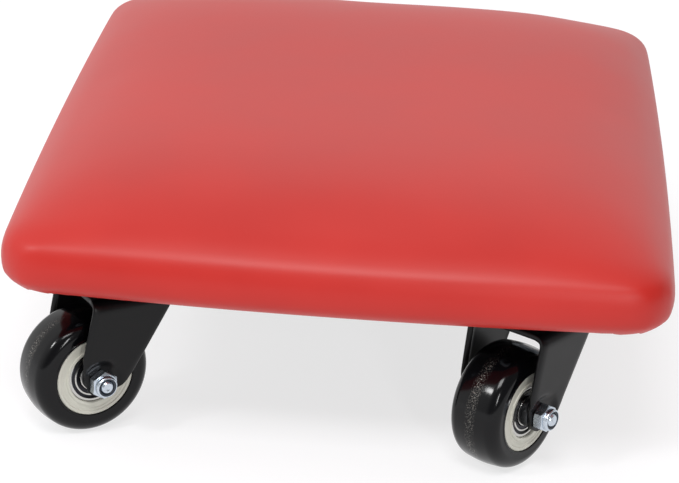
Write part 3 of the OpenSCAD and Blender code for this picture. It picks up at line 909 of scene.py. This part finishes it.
crown_top = fork_high.z
leg_out = nut_low.y
leg_top = leg_out + FORK_STEP + FORK_SPLAY
crown_run = leg_top - FORK_BEND
bend_run = FORK_BEND * math.pi / 2
leg_run = crown_top - FORK_BEND - axle.z
end_run = FORK_END * math.pi / 2
fork_run = crown_run + bend_run + leg_run + end_run


def edge_at(z, points, side):
    """How far forward a leg's edge is at a height. Below its points it follows the round end."""
    if z < points[0][0]:
        return axle.x + side * math.sqrt(max(0.0, FORK_END ** 2 - (axle.z - z) ** 2))
    return float(np.interp(z, [p[0] for p in points], [p[1] for p in points]))


def eased_step(t):
    """Goes smoothly from 0 to 1 as t does."""
    t = max(0.0, min(1.0, t))
    return t * t * (3 - 2 * t)


def fork_point(along, across):
    """A point of the fork's outer face: along from one leg's end to the other's, and across."""
    run = abs(along) * fork_run
    if run < crown_run:
        y, z = run, crown_top
        rear, front = -math.sqrt(CROWN_R ** 2 - y ** 2), CROWN_FRONT
    elif run < crown_run + bend_run:
        turn = (run - crown_run) / FORK_BEND
        y = crown_run + FORK_BEND * math.sin(turn)
        z = crown_top - FORK_BEND * (1 - math.cos(turn))
        start = -math.sqrt(CROWN_R ** 2 - crown_run ** 2)
        share = turn / (math.pi / 2)
        rear = start + (REAR_EDGE[-1][1] - start) * share
        front = edge_at(z, FRONT_EDGE, 1)
    else:
        down = run - crown_run - bend_run
        if down < leg_run:
            z = crown_top - FORK_BEND - down
        else:
            z = axle.z - FORK_END * math.sin((down - leg_run) / FORK_END)
        y = leg_out
        rear, front = edge_at(z, REAR_EDGE, -1), edge_at(z, FRONT_EDGE, 1)
    share = (across + 1) / 2
    x = rear + (front - rear) * share
    if run >= crown_run + bend_run:
        off = math.hypot(x - axle.x, z - axle.z)
        lean = (z - axle.z - LEAN_FROM) / (crown_top - FORK_BEND - axle.z - LEAN_FROM)
        y += FORK_STEP * eased_step((off - STEP_FROM) / (STEP_TO - STEP_FROM))
        y += FORK_SPLAY * max(0.0, lean)
    near = min(x - rear, front - x)
    if z < crown_top - 0.5 and near < ROLL_WIDTH:
        into = 1 - near / ROLL_WIDTH
        hold = min(1.0, (crown_top - z) / 4) * min(1.0, max(0.0, z - axle.z + 4) / 8)
        y -= LEG_ROLL * hold * (1 - math.sqrt(max(0.0, 1 - into ** 2)))
    return Vector((x, math.copysign(y, along), z))


def eased(t):
    """Moves evenly spaced places towards both edges, so that the edges stay crisp."""
    return math.copysign(abs(t) ** 0.6, t)


fork_shape = bmesh.new()
bmesh.ops.create_grid(fork_shape, x_segments=30, y_segments=120, size=1)
for vert in fork_shape.verts:
    vert.co = fork_point(vert.co.y * 0.999, eased(vert.co.x))
bmesh.ops.remove_doubles(fork_shape, verts=fork_shape.verts, dist=0.01)
faced_out(fork_shape)
outward = sum(face.normal.z * face.calc_area() for face in fork_shape.faces)
if outward < 0:
    bmesh.ops.reverse_faces(fork_shape, faces=fork_shape.faces)
fork_shape = worked(
    fork_shape, "SOLIDIFY", thickness=FORK_SHEET, offset=-1, use_even_offset=True,
)
fork_shape = worked(fork_shape, "SUBSURF", levels=1, render_levels=1)
bolt_hole = copied(rod(BOLT_HOLE_R, -30, 30), on_axle)
pin_hole = rod(PIN_HOLE_R, crown_top - 6, crown_top + 2)
fork_shape = combined(fork_shape, joined([bolt_hole, pin_hole]), "DIFFERENCE")
caster_pieces("fork", fork_shape, [black_coat], "swivel")


# ---- Balls ----
# Hardened steel balls carry the load in both swivel races and in the wheel's bearings.
# Their CAD shapes are true balls already, so only their finish is set.

# ground bearing steel: mirror-like, a warm grey, with faint marks of grinding
bearing_steel, tree = new_material("ground_bearing_steel")
place = node(tree, "ShaderNodeTexCoord").outputs["Object"]
ground = node(tree, "ShaderNodeTexNoise", {"Vector": place, "Scale": 1 / (0.4 * MM), "Detail": 3})
polish = node(tree, "ShaderNodeMapRange", {
    "Value": ground.outputs["Fac"], "To Min": 0.12, "To Max": 0.26,
})
surface(tree, {
    "Base Color": linear("#c2c1be"), "Metallic": 1.0, "Roughness": polish.outputs["Result"],
})
for corner in CORNERS:
    for balls in ("swivel_balls", "bearing_balls"):
        frame["nodes"][f"{corner}_{balls}"].material_slots[0].material = bearing_steel


# ---- Axle bolts and spacers ----
# A hexagon bolt passes both legs. A tube and two rings on it keep the bearings apart and off
# the legs, so that the nut can be tightened hard. The spacers are coloured a dark, dull grey metal.
BOLT_R = 3.0
BOLT_END_R = 2.2
FLATS = 10.0
HEAD = 4.0
THREAD = 0.8
BEARING_BORE = 4.0
SPACER_R = 5.7

dark_zinc = zinc_plate("dull_dark_zinc_plate", "#4a4b4e", 0.38)
bolt_end = bolt_high.y
bolt_head = bolt_low.y
threads = []
ridge = nut_low.y - 2
while ridge < bolt_end - 1.9:
    threads += [(BOLT_R - 0.3, ridge), (BOLT_R, ridge + THREAD / 2)]
    ridge += THREAD
shank = turned(
    [(0, bolt_head + 1), (BOLT_R, bolt_head + 1), (BOLT_R, nut_low.y - 2.4)] + threads
    + [(BOLT_R - 0.25, bolt_end - 1.0), (BOLT_END_R, bolt_end - 0.15),
       (BOLT_END_R - 0.2, bolt_end), (1.2, bolt_end), (0.9, bolt_end - 0.2), (0, bolt_end - 0.2)],
    40, closed=False,
)
bolt_shape = combined(prism(FLATS, bolt_head, bolt_head + HEAD), shank, "UNION")
caster_pieces("axle_bolt", bolt_shape, [zinc], "swivel", on_axle)

leg_in = leg_out - FORK_SHEET
bearing_face = bearing_high.y
tube = turned(
    [(BOLT_R + 0.1, -leg_in), (BEARING_BORE - 0.02, -leg_in), (BEARING_BORE - 0.02, leg_in),
     (BOLT_R + 0.1, leg_in)], 40,
)
rings = [
    turned([(BEARING_BORE, a), (SPACER_R, a), (SPACER_R, b), (BEARING_BORE, b)], 48)
    for a, b in ((bearing_face, leg_in), (-leg_in, -bearing_face))
]
rings = [softened(ring, 0.3) for ring in rings]
caster_pieces(
    "axle_spacers", joined([tube] + rings), [dark_zinc], "swivel", on_axle,
)


# ---- Lock nuts ----
# A hexagon nut with a round collar rolled over a nylon ring that grips the thread. It is cold
# formed, tapped and zinc plated, and the blue-grey nylon shows round the bolt's end.
NUT_HEX = 4.2
COLLAR_R = 4.45
NYLON_IN = 2.95
NYLON_OUT = 3.75

# nylon: moulded, dark blue-grey, slightly translucent, low gloss
nylon, tree = new_material("dark_nylon")
place = node(tree, "ShaderNodeAttribute", attribute_name="bench").outputs["Vector"]
haze = node(tree, "ShaderNodeTexNoise", {"Vector": place, "Scale": 2.0})
nylon_tone = node(tree, "ShaderNodeValToRGB", {"Fac": haze.outputs["Fac"]}, ("#141d28", "#1c2836"))
surface(tree, {"Base Color": nylon_tone.outputs["Color"], "Roughness": 0.4, "IOR": 1.53})

hex_end = nut_low.y + NUT_HEX
collar = turned(
    [(BOLT_R, hex_end - 0.8), (COLLAR_R, hex_end - 0.8)]
    + arc((COLLAR_R - 0.7, nut_high.y - 0.7), 0.7, 0, 90, 5)
    + [(NYLON_OUT, nut_high.y - 0.15), (NYLON_OUT, nut_high.y - 1.1), (BOLT_R, nut_high.y - 1.1)],
    64,
)
nut_shape = combined(prism(FLATS, nut_low.y, hex_end), collar, "UNION")
nut_shape = combined(nut_shape, rod(BOLT_R + 0.02, nut_low.y - 1, nut_high.y + 1), "DIFFERENCE")
nylon_ring = softened(turned([
    (NYLON_IN, nut_high.y - 1.1), (NYLON_OUT, nut_high.y - 1.1),
    (NYLON_OUT, nut_high.y - 0.25), (NYLON_IN, nut_high.y - 0.45),
], 64), 0.08)
for face in nylon_ring.faces:
    face.material_index = 1
nut_shape = joined([nut_shape, nylon_ring])
caster_pieces("lock_nut", nut_shape, [zinc, nylon], "swivel", on_axle)


# ---- Bearings ----
# Two deep-groove ball bearings are pressed into each wheel, 8 mm bore, 22 mm outside and 7 mm
# wide. Their rings are ground, and pressed steel shields close them on both faces.
BEARING_R = 11.0
BEARING_WIDE = 7.0
INNER_R = 6.05
OUTER_IN = 9.6
BEARING_BALL = 3.97

# pressed shield: thin steel, coloured dark as painted shade inside the bearing, with a satin sheen
# and a faint mottle
shield_shade_paint, tree = new_material("steel_shield_painted_shade")
place = node(tree, "ShaderNodeTexCoord").outputs["Object"]
blotch = node(tree, "ShaderNodeTexNoise", {"Vector": place, "Scale": 1 / (1.2 * MM), "Detail": 3})
shield_shade_tone = node(
    tree, "ShaderNodeValToRGB", {"Fac": blotch.outputs["Fac"]}, ("#26262a", "#3a3a3f"),
)
surface(tree, {"Base Color": shield_shade_tone.outputs["Color"], "Metallic": 1.0, "Roughness": 0.34})

bearing_mid = bearing_face - BEARING_WIDE / 2
bearing_back = bearing_mid - BEARING_WIDE / 2
track_r = (INNER_R + OUTER_IN) / 2
ball_groove = BEARING_BALL / 2 + 0.2


def both_sides(shape):
    """A shape round Z and its mirror image across z = 0."""
    other = copied(shape, Matrix.Scale(-1, 4, (0, 0, 1)))
    bmesh.ops.reverse_faces(other, faces=other.faces)
    return joined([shape, other])


def groove_angles(radius):
    """Where a ring's face at a radius meets the ball groove, in degrees off the axle's normal."""
    return math.degrees(math.acos(abs(radius - track_r) / ball_groove))


spread = groove_angles(INNER_R)
inner_ring = turned(
    [(BEARING_BORE, bearing_back), (INNER_R, bearing_back)]
    + arc((track_r, bearing_mid), ball_groove, 180 + spread, 180 - spread, 8)
    + [(INNER_R, bearing_face), (BEARING_BORE, bearing_face)],
    56,
)
inner_ring = both_sides(softened(inner_ring, 0.2, angle=60))
caster_pieces(
    "bearing_inner_rings", inner_ring, [bearing_steel], "swivel", on_axle,
)

spread = groove_angles(OUTER_IN)
outer_ring = turned(
    [(BEARING_R, bearing_back), (BEARING_R, bearing_face), (OUTER_IN, bearing_face)]
    + arc((track_r, bearing_mid), ball_groove, spread, -spread, 8)
    + [(OUTER_IN, bearing_back)],
    72,
)
outer_ring = softened(outer_ring, 0.3, angle=60)


def shield(level, side):
    """A pressed shield, its rim low in the ring, with a bright ridge round its inner part. Off the
    ridge it takes the dark colour, painted shade inside the bearing.
    """
    plate = turned([
        (OUTER_IN + 0.1, level - side * 0.9), (9.0, level - side * 0.9), (8.5, level - side * 0.75),
        (8.35, level - side * 0.3), (7.75, level - side * 0.25), (7.5, level - side * 0.55),
        (6.4, level - side * 0.6), (6.4, level - side * 0.85), (7.4, level - side * 0.85),
        (8.3, level - side * 1.15), (OUTER_IN + 0.1, level - side * 1.2),
    ], 72)
    for face in plate.faces:
        radius = face.calc_center_median().xy.length
        face.material_index = 0 if 7.7 < radius < 8.45 else 1
    return plate


bearing_shape = both_sides(joined([
    outer_ring, shield(bearing_face, 1), shield(bearing_back, -1),
]))
caster_pieces(
    "bearing_outer_rings", bearing_shape, [bearing_steel, shield_shade_paint], "wheel",
    on_axle,
)


# ---- Wheel cores ----
# The wheel's hub is moulded in off-white polypropylene, with stepped rings on both faces, a
# seat for a bearing in each, and a rib between the bearings.
CORE_BORE = 9.5
CORE_STEP = 0.5

# moulded polypropylene: off-white, waxy satin, with faint turned marks from its mould
core_plastic, tree = new_material("off_white_polypropylene")
place = node(tree, "ShaderNodeAttribute", attribute_name="bench").outputs["Vector"]
part = node(tree, "ShaderNodeSeparateXYZ", {"Vector": place})
flat = node(tree, "ShaderNodeCombineXYZ", {"X": part.outputs["X"], "Y": part.outputs["Y"]})
radius = node(tree, "ShaderNodeVectorMath", {0: flat.outputs[0]}, operation="LENGTH")
marks = node(tree, "ShaderNodeMath", {0: radius.outputs["Value"], 1: 9.0}, operation="MULTIPLY")
rings_wave = node(tree, "ShaderNodeMath", {0: marks.outputs[0]}, operation="SINE")
flow = node(tree, "ShaderNodeTexNoise", {"Vector": place, "Scale": 0.25, "Detail": 2})
core_tone = node(tree, "ShaderNodeValToRGB", {"Fac": flow.outputs["Fac"]}, ("#bab9ae", "#cac9be"))
turned_marks = node(tree, "ShaderNodeBump", {
    "Height": rings_wave.outputs[0], "Strength": 0.35, "Distance": 0.03 * MM,
})
surface(tree, {
    "Base Color": core_tone.outputs["Color"], "Roughness": 0.42, "IOR": 1.49,
    "Normal": turned_marks.outputs["Normal"],
})

core_r = (core_high.z - core_low.z) / 2
core_face = core_high.y
core_half = [
    (CORE_BORE, bearing_back), (BEARING_R, bearing_back), (BEARING_R, core_face - 0.25),
    (BEARING_R + 0.25, core_face), (BEARING_R + 1.2, core_face),
    (BEARING_R + 1.4, core_face - CORE_STEP), (13.6, core_face - CORE_STEP),
    (13.75, core_face - CORE_STEP + 0.15), (core_r - 1.6, core_face - CORE_STEP + 0.15),
    (core_r - 1.35, core_face), (core_r - 0.3, core_face), (core_r, core_face - 0.3),
]
core_shape = turned(core_half + [(r, -z) for r, z in reversed(core_half)], 96)
caster_pieces(
    "wheel_core", core_shape, [core_plastic], "wheel", on_axle, sharp=28,
)


# ---- Tyres ----
# The tyre is black polyurethane, cast round the core with wide round shoulders and a small
# lip beside the core. Its middle has picked up a band of workshop dust and small pits.
SHOULDER = 5.5
TREAD_DROP = 0.5
DUST_WIDTH = 3.0
DUST_GRAIN = 0.42
DUST_TOWARDS = (0.98, -0.17, 0)  # the side of the wheel that rolled through the dust

# cast polyurethane: black, hard and glossy, matt and paler where dust sticks to the tread
tyre_black, tree = new_material("black_cast_polyurethane")
place = node(tree, "ShaderNodeAttribute", attribute_name="bench").outputs["Vector"]
across = node(tree, "ShaderNodeSeparateXYZ", {"Vector": place}).outputs["Z"]
off_middle = node(tree, "ShaderNodeMath", {0: across}, operation="ABSOLUTE")
band = node(tree, "ShaderNodeMapRange", {
    "Value": off_middle.outputs[0], "From Min": 0.5, "From Max": DUST_WIDTH,
    "To Min": 1.0, "To Max": 0.0,
}, interpolation_type="SMOOTHSTEP")
specks = node(tree, "ShaderNodeTexNoise", {
    "Vector": place, "Scale": 1 / DUST_GRAIN, "Detail": 3, "Roughness": 0.65,
})
patches = node(tree, "ShaderNodeTexNoise", {"Vector": place, "Scale": 1 / 11, "Detail": 1})
speck_cut = node(tree, "ShaderNodeMapRange", {
    "Value": specks.outputs["Fac"], "From Min": 0.56, "From Max": 0.66,
})
patch_cut = node(tree, "ShaderNodeMapRange", {
    "Value": patches.outputs["Fac"], "From Min": 0.30, "From Max": 0.55,
})
side_on = node(tree, "ShaderNodeVectorMath", {0: place, 1: DUST_TOWARDS}, operation="DOT_PRODUCT")
dusty_side = node(tree, "ShaderNodeMapRange", {
    "Value": side_on.outputs["Value"], "From Min": 12, "From Max": 23, "To Min": 0.15,
}, interpolation_type="SMOOTHSTEP")
dust = speck_cut
for share in (band, patch_cut, dusty_side):
    dust = node(tree, "ShaderNodeMath", {
        0: dust.outputs[0], 1: share.outputs["Result"],
    }, operation="MULTIPLY")
tyre_tone = node(tree, "ShaderNodeMix", {
    "Factor": dust.outputs[0], 6: linear("#060608"), 7: linear("#b4b0a8"),
}, data_type="RGBA")
tyre_gloss = node(tree, "ShaderNodeMapRange", {
    "Value": dust.outputs[0], "To Min": 0.14, "To Max": 0.6,
})
pits = node(tree, "ShaderNodeBump", {
    "Height": dust.outputs[0], "Strength": 0.3, "Distance": 0.1 * MM,
})
surface(tree, {
    "Base Color": tyre_tone.outputs[2], "Roughness": tyre_gloss.outputs["Result"],
    "Specular IOR Level": 0.24, "Normal": pits.outputs["Normal"],
})

tyre_side = tyre_high.y
round_r = wheel_r - TREAD_DROP - SHOULDER
round_z = tyre_side - SHOULDER
tyre_half = (
    [(core_r, core_face - 0.2), (core_r + 0.25, tyre_side - 0.05), (core_r + 0.9, tyre_side),
     (core_r + 1.1, tyre_side - 0.25), (core_r + 1.4, tyre_side - 0.3)]
    + arc((round_r, round_z), SHOULDER, 84, 6, 12)
    + [(wheel_r - TREAD_DROP * (z / round_z) ** 2, z) for z in (4.5, 3.0, 1.5)]
)
tyre_shape = turned(
    tyre_half + [(wheel_r, 0)] + [(r, -z) for r, z in reversed(tyre_half)], 112,
)
caster_pieces("tyre", tyre_shape, [tyre_black], "wheel", on_axle, sharp=30)
